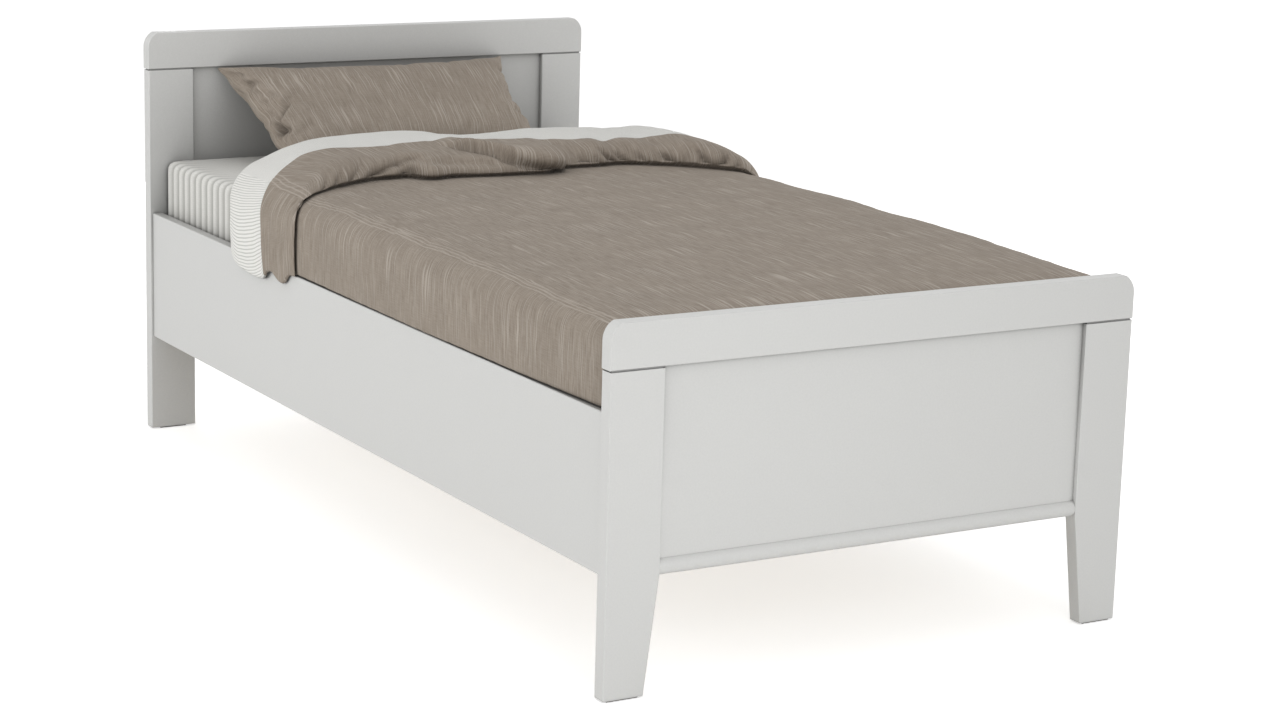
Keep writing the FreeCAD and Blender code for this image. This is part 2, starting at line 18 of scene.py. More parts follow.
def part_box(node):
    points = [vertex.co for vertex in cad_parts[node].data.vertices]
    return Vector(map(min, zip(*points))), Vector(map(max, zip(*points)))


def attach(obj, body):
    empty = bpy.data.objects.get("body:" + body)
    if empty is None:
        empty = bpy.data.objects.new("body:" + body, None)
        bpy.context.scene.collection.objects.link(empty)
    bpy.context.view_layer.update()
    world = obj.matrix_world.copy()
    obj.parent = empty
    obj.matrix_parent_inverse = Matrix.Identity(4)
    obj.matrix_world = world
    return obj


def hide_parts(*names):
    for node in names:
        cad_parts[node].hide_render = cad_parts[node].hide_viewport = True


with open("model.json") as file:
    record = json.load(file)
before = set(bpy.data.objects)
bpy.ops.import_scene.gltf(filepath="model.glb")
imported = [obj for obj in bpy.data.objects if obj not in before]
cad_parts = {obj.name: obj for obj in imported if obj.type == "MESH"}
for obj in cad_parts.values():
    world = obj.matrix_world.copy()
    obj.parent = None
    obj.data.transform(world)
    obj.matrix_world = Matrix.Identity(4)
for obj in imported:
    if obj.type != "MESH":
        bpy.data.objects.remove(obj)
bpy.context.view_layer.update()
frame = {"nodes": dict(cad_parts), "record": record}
nodes = frame["nodes"]

# %% Helpers for objects
scene = bpy.context.scene


def placed(name, data):
    """A new object in the scene that shows a camera, a lamp or a mesh."""
    made = bpy.data.objects.new(name, data)
    scene.collection.objects.link(made)
    return made


def mesh_of(bm, name):
    """A new mesh with the faces of a bmesh."""
    mesh = bpy.data.meshes.new(name)
    bm.to_mesh(mesh)
    return mesh


# %% [markdown]
# ## The camera
#
# The photograph was taken from beyond the foot of the bed, a little to its left and well above the
# mattress, with a long lens. The place and the three turns below come from fitting straight edges of
# the bed to the photograph, so the render has the same view.

# %% Camera
IMAGE_WIDTH = 1280
FOCAL_PIXELS = 2971.2
SENSOR = 36.0  # millimetres
camera_place = Vector((-2.85627, -5.07126, 1.62699))
yaw, pitch, roll = 0.53182, 0.22062, 0.02754  # radians

forward = Vector((math.sin(yaw) * math.cos(pitch), math.cos(yaw) * math.cos(pitch), -math.sin(pitch)))
level = Vector((math.cos(yaw), -math.sin(yaw), 0))
upward = level.cross(forward)
camera_right = level * math.cos(roll) + upward * math.sin(roll)
camera_up = upward * math.cos(roll) - level * math.sin(roll)

lens = bpy.data.cameras.new("camera")
lens.sensor_width = SENSOR
lens.lens = FOCAL_PIXELS / IMAGE_WIDTH * SENSOR
lens.clip_end = 200
camera = placed("camera", lens)
camera.matrix_world = Matrix((
    (camera_right.x, camera_up.x, -forward.x, camera_place.x),
    (camera_right.y, camera_up.y, -forward.y, camera_place.y),
    (camera_right.z, camera_up.z, -forward.z, camera_place.z),
    (0, 0, 0, 1),
))
scene.camera = camera
scene.view_settings.view_transform = "Standard"
print("Lens", round(lens.lens, 1), "mm")

# %% [markdown]
# ## Colours and nodes
#
# Colours are given as sRGB hex values, and Blender's shaders want linear ones, so one
# function turns the first into the second. A second function adds a node to a material and sets or
# links its inputs, which keeps each recipe below short enough to read. A recipe starts with an empty
# material and ends with its surface, which joins the shader to the output. Settings that many nodes
# share have a name. A Mix node for colours mixes its inputs 6 and 7 into output 2.

# %% Helpers for materials
def colour(code):
    """A linear colour from an sRGB hex value such as #D3D3D1."""
    parts = [int(code[i:i + 2], 16) / 255 for i in (1, 3, 5)]
    return tuple(c / 12.92 if c <= 0.04045 else ((c + 0.055) / 1.055) ** 2.4 for c in parts) + (1.0,)


def add(material, kind, settings=None, inputs=None):
    """Add one node with its settings and inputs: values, sockets, or nodes, whose first output is linked."""
    made = material.node_tree.nodes.new(kind)
    for name, value in (settings or {}).items():
        setattr(made, name, value)
    for socket, value in (inputs or {}).items():
        if isinstance(value, bpy.types.Node):
            value = value.outputs[0]
        if isinstance(value, bpy.types.NodeSocket):
            material.node_tree.links.new(value, made.inputs[socket])
        else:
            made.inputs[socket].default_value = value
    return made


COLOURS = {"data_type": "RGBA"}
DARKEN = {"data_type": "RGBA", "blend_type": "MULTIPLY"}
NUMBERS = {"data_type": "FLOAT"}
MULTIPLY_ADD = {"operation": "MULTIPLY_ADD"}
SMOOTH = {"interpolation_type": "SMOOTHSTEP"}


def empty_material(name):
    """A material without any nodes."""
    material = bpy.data.materials.new(name)
    material.use_nodes = True
    material.node_tree.nodes.clear()
    return material


def surface(material, inputs):
    """End a recipe: the shader, with its values and links, and the output that shows it."""
    shader = add(material, "ShaderNodeBsdfPrincipled", inputs=inputs)
    add(material, "ShaderNodeOutputMaterial", inputs={"Surface": shader})


def per_metre(millimetres):
    """The scale of a pattern whose features are that many millimetres apart."""
    return 1000 / millimetres


# %% [markdown]
# ## Studio
#
# The photograph is lit from all round: the front of the footboard and the side rail are equally
# bright, and the headboard is darker because it faces the taupe duvet and not the white floor. So a
# white surround gives most of the light here, over a floor of white paper that throws it back up.
# Five soft lamps fill in from the foot, both sides, above and behind the head. To the camera and in
# reflections the surround is plain white, whatever light it gives.

# %% Surround
ROOM_LIGHT = 0.54

world = bpy.data.worlds.new("studio")
scene.world = world
world.use_nodes = True
world.node_tree.nodes.clear()
ray = add(world, "ShaderNodeLightPath").outputs
seen = add(world, "ShaderNodeMath", {"operation": "MAXIMUM"},
           {0: ray["Is Camera Ray"], 1: ray["Is Glossy Ray"]})
seen = add(world, "ShaderNodeMath", {"operation": "MAXIMUM"}, {0: seen, 1: ray["Is Transmission Ray"]})
room = add(world, "ShaderNodeBackground", inputs={"Color": colour("#FFFFFF"), "Strength": ROOM_LIGHT})
backdrop = add(world, "ShaderNodeBackground", inputs={"Color": colour("#FFFFFF"), "Strength": 1.0})
surround = add(world, "ShaderNodeMixShader", inputs={0: seen, 1: room, 2: backdrop})
add(world, "ShaderNodeOutputWorld", inputs={"Surface": surround})

# %% Floor
FLOOR_REACH = 40  # from the middle to its edge, which is then out of sight
FLOOR_GLOW = 0.55  # added for the camera alone, so that the paper looks white and still takes a shadow

floor_paper = empty_material("floor_paper")
ray = add(floor_paper, "ShaderNodeLightPath").outputs
glow = add(floor_paper, "ShaderNodeMath", {"operation": "MULTIPLY"}, {0: ray["Is Camera Ray"], 1: FLOOR_GLOW})
surface(floor_paper, {"Base Color": colour("#FBFBFA"), "Roughness": 0.9, "Specular IOR Level": 0.1,
                      "Emission Color": colour("#FFFFFF"), "Emission Strength": glow})

bm = bmesh.new()
bmesh.ops.create_grid(bm, x_segments=1, y_segments=1, size=FLOOR_REACH)
floor = placed("floor", mesh_of(bm, "floor"))
bm.free()
floor.data.materials.append(floor_paper)

# %% Lamps
lamps = (  # name, place, the point that it faces, side of the square in metres, and watts
    ("foot_lamp", (-0.5, -3.0, 0.9), (0, -1.0, 0.4), 1.8, 15.6),
    ("side_lamp", (-3.9, 0.25, 1.2), (-0.5, 0.2, 0.35), 3.0, 47),
    ("top_lamp", (0, -0.4, 2.8), (0, -0.4, 0.6), 1.8, 10),
    ("right_lamp", (3.9, 0.3, 0.55), (0.5, 0.1, 0.35), 1.0, 32),
    ("head_lamp", (0.3, 4.2, 0.6), (0, 1.0, 0.45), 1.0, 27),
)
for name, place, target, size, power in lamps:
    light = bpy.data.lights.new(name, "AREA")
    light.shape = "SQUARE"
    light.size = size
    light.energy = power
    lamp = placed(name, light)
    lamp.location = place
    lamp.rotation_euler = (Vector(target) - Vector(place)).to_track_quat("-Z", "Y").to_euler()
print("Lamps:", len(lamps), "with", round(sum(row[-1] for row in lamps)), "watts")

# %% [markdown]
# ## White satin lacquer
#
# The boards are fibreboard under a sprayed white lacquer with a satin gloss. Such a film is never
# quite flat: it dries with a fine orange-peel ripple, about 2 mm across, which breaks up the
# reflections. The real ripple is finer than a pixel, so it is drawn a little coarser here.
#
# A white board also shows how open the place around it is, and here that shade is painted into the
# lacquer's colour: the joints between boards are darker over a centimetre or so, and the headboard is
# darker near the pillow and the mattress, over about 30 cm. An Ambient Occlusion node measures both.
# Lower than half a metre the white floor lights the boards, so the wider painted shade fades out there.

# %% Painted shade in corners
def with_painted_shade(material, tone, reach, closed, free, darkest, curve=None):
    """A tone with painted shade, made darker where other surfaces stand within reach of this one."""
    nearby = add(material, "ShaderNodeAmbientOcclusion", {"samples": 8}, {"Distance": reach})
    shade = add(material, "ShaderNodeMapRange", curve,
                {0: nearby.outputs["AO"], 1: closed, 2: free, 3: darkest, 4: 1.0})
    return add(material, "ShaderNodeMix", DARKEN, {0: 1.0, 6: tone, 7: shade}).outputs[2]


# %% Lacquer
lacquer = empty_material("satin_lacquer")
place = add(lacquer, "ShaderNodeTexCoord").outputs["Object"]
peel = add(lacquer, "ShaderNodeTexNoise", inputs={"Vector": place, "Scale": per_metre(3.5), "Detail": 3.0,
                                                  "Roughness": 0.6})
cloud = add(lacquer, "ShaderNodeTexNoise", inputs={"Vector": place, "Scale": per_metre(240), "Detail": 2.0})
gloss = add(lacquer, "ShaderNodeMapRange", inputs={0: cloud, 1: 0.3, 2: 0.7, 3: 0.38, 4: 0.48})
ripple = add(lacquer, "ShaderNodeBump", inputs={"Strength": 0.12, "Distance": 0.0006, "Height": peel})
tone = add(lacquer, "ShaderNodeMix", COLOURS, {0: peel, 6: colour("#D3D3D1"), 7: colour("#DCDCDA")})
# Painted shade: the colour is darker in the joints between boards.
tone = with_painted_shade(lacquer, tone.outputs[2], reach=0.012, closed=0.25, free=0.85, darkest=0.42, curve=SMOOTH)
# Painted shade: the colour is darker near the pillow and the mattress, faded out below half a metre.
painted_hollow_shade = with_painted_shade(lacquer, tone, reach=0.3, closed=0.35, free=0.95, darkest=0.60)
height = add(lacquer, "ShaderNodeSeparateXYZ", inputs={0: place})
painted_shade_fade = add(lacquer, "ShaderNodeMapRange", inputs={0: height.outputs["Z"], 1: 0.34, 2: 0.5})
tone = add(lacquer, "ShaderNodeMix", COLOURS, {0: painted_shade_fade, 6: tone, 7: painted_hollow_shade})
surface(lacquer, {"Base Color": tone.outputs[2], "Roughness": gloss, "Normal": ripple, "IOR": 1.49})

# %% [markdown]
# ## Timber of the hidden parts
#
# The ledges and the base are planed pine, the loose tenons beech, and the bowed slats birch laminate.
# Grain runs along each piece, so the pattern is stretched along Y for the long bars, along X for
# everything that crosses the bed, and along Z for the tenons. The pores are coarser than real ones, so
# that they show.

# %% Timber
GRAIN_STRETCH = 0.05  # the grain is 20 times as long as it is wide
PORE_MM = 1.6


def timber(name, along, pale, dark, ring_mm, rough):
    """Planed timber whose grain runs along the axis with that number."""
    material = empty_material(name)
    place = add(material, "ShaderNodeTexCoord").outputs["Object"]
    stretch = [1.0, 1.0, 1.0]
    stretch[along] = GRAIN_STRETCH
    run = add(material, "ShaderNodeMapping", inputs={"Vector": place, "Scale": stretch})
    rings = add(material, "ShaderNodeTexNoise", inputs={"Vector": run, "Scale": per_metre(ring_mm),
                                                        "Detail": 4.0, "Distortion": 0.6})
    pores = add(material, "ShaderNodeTexNoise", inputs={"Vector": run, "Scale": per_metre(PORE_MM),
                                                        "Detail": 2.0})
    mixed = add(material, "ShaderNodeMath", MULTIPLY_ADD, {0: pores, 1: 0.35, 2: rings})
    ramp = add(material, "ShaderNodeMapRange", inputs={0: mixed, 1: 0.45, 2: 0.95})
    tone = add(material, "ShaderNodeMix", COLOURS, {0: ramp, 6: colour(pale), 7: colour(dark)})
    grain = add(material, "ShaderNodeBump", inputs={"Strength": 0.25, "Distance": 0.0004, "Height": pores})
    surface(material, {"Base Color": tone.outputs[2], "Normal": grain, "Roughness": rough, "IOR": 1.5})
    return material


pine_lengthwise = timber("planed_pine_lengthwise", 1, "#E2C79B", "#C49A63", 14, 0.55)
pine_crosswise = timber("planed_pine_crosswise", 0, "#E2C79B", "#C49A63", 14, 0.55)
birch = timber("birch_laminate", 0, "#E6D3AE", "#CFB07C", 9, 0.42)
beech = timber("bare_beech", 2, "#D9B48A", "#BE9064", 7, 0.6)

# %% [markdown]
# ## Zinc, plastic, felt and foam
#
# The fittings are pressed steel with a bright zinc coat, which shows as small flat crystals. The
# slat holders are moulded in black plastic with a fine grained surface, the pads are pressed felt,
# and the core of the mattress is open foam. In all four, one fine pattern gives the tone, and in all
# but the zinc its relief too.

# %% Small finishes
def speckled(name, pattern, grain_mm, shape, first, second):
    """The start of a recipe: a pattern with grains of that many millimetres, and a tone that follows it."""
    material = empty_material(name)
    place = add(material, "ShaderNodeTexCoord").outputs["Object"]
    grains = add(material, pattern, inputs={"Vector": place, "Scale": per_metre(grain_mm), **shape})
    tone = add(material, "ShaderNodeMix", COLOURS, {0: grains, 6: colour(first), 7: colour(second)})
    return material, grains, tone.outputs[2]


zinc, crystals, tone = speckled("bright_zinc_plate", "ShaderNodeTexVoronoi", 3, {}, "#C9CCD0", "#AEB2B6")
gloss = add(zinc, "ShaderNodeMapRange", inputs={0: crystals, 3: 0.3, 4: 0.46})
surface(zinc, {"Base Color": tone, "Roughness": gloss, "Metallic": 1.0})

plastic, sparks, tone = speckled("moulded_black_plastic", "ShaderNodeTexNoise", 0.9, {}, "#19191A", "#29292B")
skin = add(plastic, "ShaderNodeBump", inputs={"Strength": 0.3, "Distance": 0.0002, "Height": sparks})
surface(plastic, {"Base Color": tone, "Normal": skin, "Roughness": 0.52, "IOR": 1.5})

felt, fibres, tone = speckled("pressed_felt", "ShaderNodeTexNoise", 1.2, {"Detail": 6.0, "Distortion": 2.0},
                              "#4A4744", "#77726C")
fuzz = add(felt, "ShaderNodeBump", inputs={"Strength": 0.6, "Distance": 0.0006, "Height": fibres})
surface(felt, {"Base Color": tone, "Normal": fuzz, "Roughness": 0.95, "Sheen Weight": 0.3})

foam, cells, tone = speckled("open_cell_foam", "ShaderNodeTexVoronoi", 2.2, {}, "#D8D2BC", "#F0ECDC")
pores = add(foam, "ShaderNodeBump", inputs={"Strength": 0.7, "Distance": 0.001, "Height": cells})
surface(foam, {"Base Color": tone, "Normal": pores, "Roughness": 0.9})

# %% [markdown]
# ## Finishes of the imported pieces
#
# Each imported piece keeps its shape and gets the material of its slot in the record. Only the end bars
# of the base differ from their slot's other pieces, because their grain runs across the bed.

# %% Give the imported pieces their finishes
finishes = {"painted_wood": lacquer, "beech": beech, "pine": pine_lengthwise, "birch_slat": birch,
            "zinc_steel": zinc, "slat_cap": plastic, "felt": felt}
finished = 0
for part in frame["record"]["subparts"]:
    finish = finishes.get(part["material_slot"])
    if part["node"].startswith("base_end"):
        finish = pine_crosswise
    if finish:
        mesh = nodes[part["node"]].data
        mesh.materials.clear()
        mesh.materials.append(finish)
        finished += 1
print("Finished", finished, "packed pieces; the soft ones are made again below")


# %% Helper for new pieces
def shown(name, bm, material, body):
    """Turn a finished bmesh into a smooth piece that rides on a body."""
    mesh = mesh_of(bm, name)
    bm.free()
    for face in mesh.polygons:
        face.use_smooth = True
    mesh.materials.append(material)
    piece = placed(name, mesh)
    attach(piece, body)
    return piece


# %% [markdown]
# ## Mattress
#
# A foam core in a quilted cover. The cover is sewn in narrow upright ribs that run up the sides and
# fade out over the top edge. The outline starts as one ring whose vertices remember how far round
# the mattress they are. The ring is then extruded level by level, and each new ring is placed
# with its own inset and its own depth of rib. The grooves between the ribs get painted shade, a darker
# colour, so each vertex also remembers how deep in a groove it lies. The knit also gets a wide painted
# shade, a little weaker than the lacquer's, which darkens the top of the mattress towards the pillow
# and the headboard.

# %% The ribbed outline
MILLI = 0.001
RIB_PITCH = 0.032
RIB_POINTS = 8  # vertices to a rib
RIB_FULLNESS = 0.7  # below 1 the ribs are round and the grooves between them narrow
cover_low, cover_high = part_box("mattress_cover")
half_width = (cover_high.x - cover_low.x) / 2
half_length = (cover_high.y - cover_low.y) / 2
across_ribs = round(2 * half_width / RIB_PITCH)
along_ribs = round(2 * half_length / RIB_PITCH)


def cover_outline(walk, inset, depth):
    """A point of the ribbed outline. The whole part of walk counts the ribs."""
    counts = (across_ribs, along_ribs, across_ribs, along_ribs)
    x, y = half_width - inset, half_length - inset
    corners = ((-x, -y), (x, -y), (x, y), (-x, y))
    side = 0
    while side < 3 and walk >= counts[side]:
        walk -= counts[side]
        side += 1
    a, b = Vector(corners[side]), Vector(corners[(side + 1) % 4])
    inward = Vector((-(b - a).y, (b - a).x)).normalized()
    groove = depth * (1 - abs(math.sin(math.pi * walk)) ** RIB_FULLNESS)
    return a.lerp(b, walk / counts[side]) + inward * groove


# %% Grow the cover
cover_levels = (  # height above the bottom, inset, depth of the ribs, in millimetres
    (0, 9, 0.4), (2, 3.5, 2.4), (7, 0.6, 4.2), (20, 0, 5.2), (70, 0, 5.2), (125, 0, 5.2), (166, 0, 5.2),
    (175, 0.8, 5.0), (182, 4, 4.6), (187, 10, 4.0), (189.2, 18, 3.2), (190, 28, 2.2), (190, 42, 1.0),
    (190, 60, 0),
)
full_depth = max(depth for rise, inset, depth in cover_levels)

bm = bmesh.new()
walk_layer = bm.verts.layers.float.new("walk")
groove_shade_layer = bm.verts.layers.float.new("valley")
bmesh.ops.create_circle(bm, segments=2 * (across_ribs + along_ribs) * RIB_POINTS, radius=1)
ring, edges, bottom_edges = bm.verts[:], bm.edges[:], bm.edges[:]
for index, vertex in enumerate(ring):
    vertex[walk_layer] = index / RIB_POINTS
for number, (rise, inset, depth) in enumerate(cover_levels):
    if number:
        grown = bmesh.ops.extrude_edge_only(bm, edges=edges)["geom"]
        ring = [g for g in grown if isinstance(g, bmesh.types.BMVert)]
        edges = [g for g in grown if isinstance(g, bmesh.types.BMEdge)]
    for vertex in ring:
        x, y = cover_outline(vertex[walk_layer], inset * MILLI, depth * MILLI)
        vertex.co = (x, y, cover_low.z + rise * MILLI)
        vertex[groove_shade_layer] = (1 - abs(math.sin(math.pi * vertex[walk_layer]))) * depth / full_depth
bmesh.ops.contextual_create(bm, geom=edges)
bmesh.ops.contextual_create(bm, geom=bottom_edges)
bmesh.ops.recalc_face_normals(bm, faces=bm.faces)

# %% Quilted knit
# A white polyester knit: dull, a little hairy, with loops that are drawn coarser than real ones.
knit = empty_material("quilted_knit_cover")
place = add(knit, "ShaderNodeTexCoord").outputs["Object"]
loops = add(knit, "ShaderNodeTexVoronoi", inputs={"Vector": place, "Scale": per_metre(4.5),
                                                  "Randomness": 0.35})
tone = add(knit, "ShaderNodeMix", COLOURS, {0: loops, 6: colour("#DEDDD8"), 7: colour("#EFEEEA")})
# Painted shade: the colour is darker deep in the grooves between the ribs.
valley = add(knit, "ShaderNodeAttribute", {"attribute_name": "valley"})
tone = add(knit, "ShaderNodeMix", COLOURS,
           {0: valley.outputs["Fac"], 6: tone.outputs[2], 7: colour("#AEADA8")})
# Painted shade over a wide reach: the top of the mattress is darker towards the pillow and headboard.
tone = with_painted_shade(knit, tone.outputs[2], reach=0.25, closed=0.3, free=1.0, darkest=0.72)
dimple = add(knit, "ShaderNodeBump", inputs={"Strength": 0.35, "Distance": 0.0008, "Height": loops})
surface(knit, {"Base Color": tone, "Normal": dimple, "Roughness": 0.88, "Specular IOR Level": 0.3,
               "Sheen Weight": 0.05})

# %% Finish the cover
cover = shown("mattress_quilted_cover", bm, knit, "mattress")
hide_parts("mattress_cover")
print("Mattress cover:", len(cover.data.polygons), "faces,", across_ribs, "by", along_ribs, "ribs")

# %% Foam core
CORE_ROUND = 0.012  # radius of its edges
core_low, core_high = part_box("mattress_core")
bm = bmesh.new()
bmesh.ops.create_cube(bm, size=1.0)
bmesh.ops.scale(bm, vec=core_high - core_low, verts=bm.verts)
bmesh.ops.translate(bm, vec=(core_low + core_high) / 2, verts=bm.verts)
bmesh.ops.bevel(bm, geom=bm.edges[:], offset=CORE_ROUND, offset_type="OFFSET", segments=4, profile=0.5,
                affect="EDGES", material=-1)
core = shown("mattress_foam_core", bm, foam, "mattress")
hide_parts("mattress_core")
print("Foam core:", len(core.data.polygons), "faces")

# %% [markdown]
# ## Duvet
#
# The duvet lies over the mattress and down both sides to the rails, and its head end is turned back
# over itself. Its section along the bed is the same kind of line everywhere: up over the foot
# end, along the top, under the turned-back end, over that, and back underneath. So one flat grid, as
# wide as the duvet's path across the bed and as long as that whole section, is wrapped into shape:
# each vertex is moved to its place on the section at its own distance across the bed.

# %% The duvet's path across the bed
EDGE_X, EDGE_OUT = 0.491, 0.009  # where the mattress's top starts to round over, and how far out that goes
EDGE_DROP = 0.013  # how far down it goes
REST = 0.0004  # how far the duvet stays clear of the mattress
HEM_Z = 0.4874  # the height of its hem, 0.4 mm above the side rails
END_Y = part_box("duvet")[0].y
mattress_top = cover_high.z

# One row per station from the middle of the bed to the hem: share of the way across, share of the
# way down the side, quarter turns from level, then in millimetres the thickness, the turned-back
# end's thickness, its crest, and the places of its free edge and of its fold.
stations = np.array([
    (0.00, 0.0, 1.00, 45.0, 88.0, 98.0, 318, 624),
    (0.19, 0.0, 1.00, 45.0, 88.0, 101.0, 320, 624),
    (0.38, 0.0, 1.00, 44.6, 88.9, 102.9, 324, 621),
    (0.56, 0.0, 1.00, 43.7, 89.8, 101.9, 324, 615),
    (0.72, 0.0, 1.00, 42.8, 88.9, 96.0, 313, 608),
    (0.84, 0.0, 1.00, 41.9, 82.7, 84.3, 286, 598),
    (0.93, 0.0, 1.00, 39.6, 66.0, 67.6, 252, 590),
    (1.00, 0.0, 1.00, 35.1, 48.4, 53.9, 230, 582),
    (1.00, 0.0, 0.67, 30.6, 37.0, 41.2, 224, 575),
    (1.00, 0.0, 0.33, 27.0, 33.4, 37.2, 220, 569),
    (1.00, 0.0, 0.00, 26.1, 37.0, 38.2, 218, 565),
    (1.00, 0.5, 0.00, 27.9, 39.6, 40.2, 218, 559),
    (1.00, 1.0, 0.00, 26.1, 37.8, 38.2, 218, 558),
])
LAST = len(stations) - 1


def station(at):
    """The row of the table at a place between two stations, on a smooth curve through all of them."""
    at = min(max(at, 0.0), LAST - 1e-9)
    i = int(at)
    t = at - i
    before, a = stations[abs(i - 1)], stations[i]
    b, after = stations[i + 1], stations[min(i + 2, LAST)]
    return 0.5 * (2 * a + (b - before) * t + (2 * before - 5 * a + 4 * b - after) * t * t
                  + (3 * a - before - 3 * b + after) * t ** 3)


def stand(at):
    """Where the duvet stands on the mattress at a station, and the direction away from it."""
    row = station(at)
    turn = math.pi / 2 * min(max(row[2], 0.0), 1.0)
    top = mattress_top - EDGE_DROP
    across = min(row[0], 1.0)
    beyond = (EDGE_OUT + REST) * math.cos(turn)
    foot = Vector((EDGE_X * across + beyond, top - (top - HEM_Z) * min(max(row[1], 0.0), 1.0)
                   + (EDGE_DROP + REST) * math.sin(turn)))
    return foot, Vector((math.cos(turn), math.sin(turn))), row


# %% The duvet's section along the bed
ROUND = 0.41  # a bend that leans this far to its corner is close to a quarter circle
TOE_RUN, TUCK_RUN = 0.060, 0.018  # from the foot end to the flat top, and from the free edge in under it
NOSE_SHARE, NOSE_LEAST = 0.22, 0.006  # how high the nose of the free edge is, of the fold and at least
TOP_BULGE, FOLD_BULGE = 0.008, 0.004  # how much the top and the fold swell between their ends
FULL_FOLD, BROW_RUN = 0.088, 0.058  # a fold this thick needs this far to reach its height
FULL_CREST, PEAK_RUN = 0.098, 0.062  # the same at the head end
STEPS = (2, 6, 50, 6, 15, 36, 9, 7, 26)  # rows of faces in each stretch of the section
FIRST_FOLD_ROW, UPPER_ROWS, ROWS = sum(STEPS[:4]), sum(STEPS[:7]), sum(STEPS)


def bend(a, b, corner, share, steps):
    """Points from a to b on a curve that leans towards a corner, without the last one."""
    middle = (a + b) / 2
    pull = middle + (corner - middle) * 2 * share
    return [a * (1 - t) ** 2 + pull * 2 * t * (1 - t) + b * t * t for t in (k / steps for k in range(steps))]


# Where the turned-back end is thicker near the right rail: across the bed, and how much, in millimetres.
fuller = np.array([
    (340, 0), (385, 7), (426, 19), (461, 25), (490, 27), (512, 22), (535, 14), (565, 6), (610, 0)])
# Where it lies unevenly: across the bed, then how far its free edge is shifted towards the head, and
# how much its crest is raised, all in millimetres.
uneven = np.array([
    (-700, 8, 0), (-530, 12, 0), (-476, 14, 2), (-430, 6, 4), (-390, 0, 4), (-360, 4, 5), (-315, 15, 5),
    (-270, 16, 5), (-232, 15, 5), (-210, -20, 5), (-194, -29, 5), (-160, -22, 5), (-134, -22, 5),
    (-100, -27, 2), (-60, -33, -3), (15, -36, -9), (45, -41, -11), (65, -38, -10), (90, -18, -9),
    (114, 4, -7), (150, 5, -5), (200, 2, -6), (254, 14, -6), (275, 12, -7), (329, -10, -8), (386, -32, -7),
    (407, -44, -5), (440, -46, -4), (470, -38, -2), (520, -20, 0), (600, -8, 0), (700, -5, 0)])


def section(row, across):
    """The closed section of the duvet there, as points (along the bed, away from the mattress)."""
    loft, fold, crest, free, head = (value * MILLI for value in row[3:8])
    free += float(np.interp(across * 1000, uneven[:, 0], uneven[:, 1])) * MILLI
    crest += float(np.interp(across * 1000, uneven[:, 0], uneven[:, 2])) * MILLI
    extra = float(np.interp(across * 1000, fuller[:, 0], fuller[:, 1])) * MILLI
    fold, crest = fold + extra, crest + extra
    toe = END_Y + TOE_RUN
    tuck = free + TUCK_RUN
    brow = free + BROW_RUN * fold / FULL_FOLD
    peak = head - PEAK_RUN * crest / FULL_CREST
    nose = loft + max(NOSE_SHARE * (fold - loft), NOSE_LEAST)
    corners = [Vector(p) for p in (
        (END_Y, 0), (END_Y, loft * 0.4), (toe, loft * 0.8), (tuck, loft), (free, nose), (brow, fold),
        (peak, crest), (head, crest / 2), (peak, 0), (END_Y, 0))]
    crown = ((toe + tuck) / 2, loft * 0.9 + TOP_BULGE)
    swell = ((brow + peak) / 2, (fold + crest) / 2 + FOLD_BULGE)
    leans = (  # what each stretch leans towards, and how far
        ((END_Y, 0), 0), ((END_Y, loft * 0.8), ROUND), (crown, 1), ((free, loft), 0.12),
        ((free, fold), 0.38), (swell, 1), ((head, crest), ROUND), ((head, 0), ROUND), ((END_Y, 0), 0))
    points = []
    for a, b, (towards, share), steps in zip(corners, corners[1:], leans, STEPS):
        points += bend(a, b, Vector(towards), share, steps)
    return points + [corners[-1]]


# %% Walk across the duvet
SIDE_COLUMNS = 74  # columns of faces from the middle to a hem
FINENESS = 20  # places from one station to the next


def walked_along(points):
    """How far along a line each of its points is."""
    return np.concatenate(([0], np.cumsum([(b - a).length for a, b in zip(points, points[1:])])))


fine = [k / FINENESS for k in range(LAST * FINENESS + 1)]
outer = []
for at in fine:
    foot, away, row = stand(at)
    outer.append(foot + away * row[3] * MILLI)
walked = walked_along(outer)
column_width = walked[-1] / SIDE_COLUMNS
print("The duvet is", round(2 * walked[-1], 3), "m across from hem to hem")

# %% [markdown]
# The white reverse of the cover shows at the head end, up to a line that wanders a little. Its
# distance from every vertex is stored on the mesh, so that the material can change exactly there.

# %% Wrap the grid into the duvet
SEAM_STATION, SEAM_SHIFT = 7.3, 0.012  # the side panels are sewn on this far past that station
WHITE = -0.05  # a distance that is well past the line, for the underside, which is white all over
seam_line = np.array([  # across the bed and along it, in millimetres, as seen in the photograph
    (-700, 359), (-640, 364), (-590, 372), (-550, 382), (-520, 396), (-490, 415), (-460, 433), (-430, 444),
    (-390, 449), (-340, 447), (-290, 442), (-240, 439), (-190, 445), (-140, 449), (-100, 446), (-60, 449),
    (-20, 460), (20, 461), (50, 450), (80, 438), (120, 431), (160, 420), (200, 409), (250, 401), (310, 393),
    (370, 383), (420, 364), (470, 343), (520, 328), (600, 321), (700, 320)])

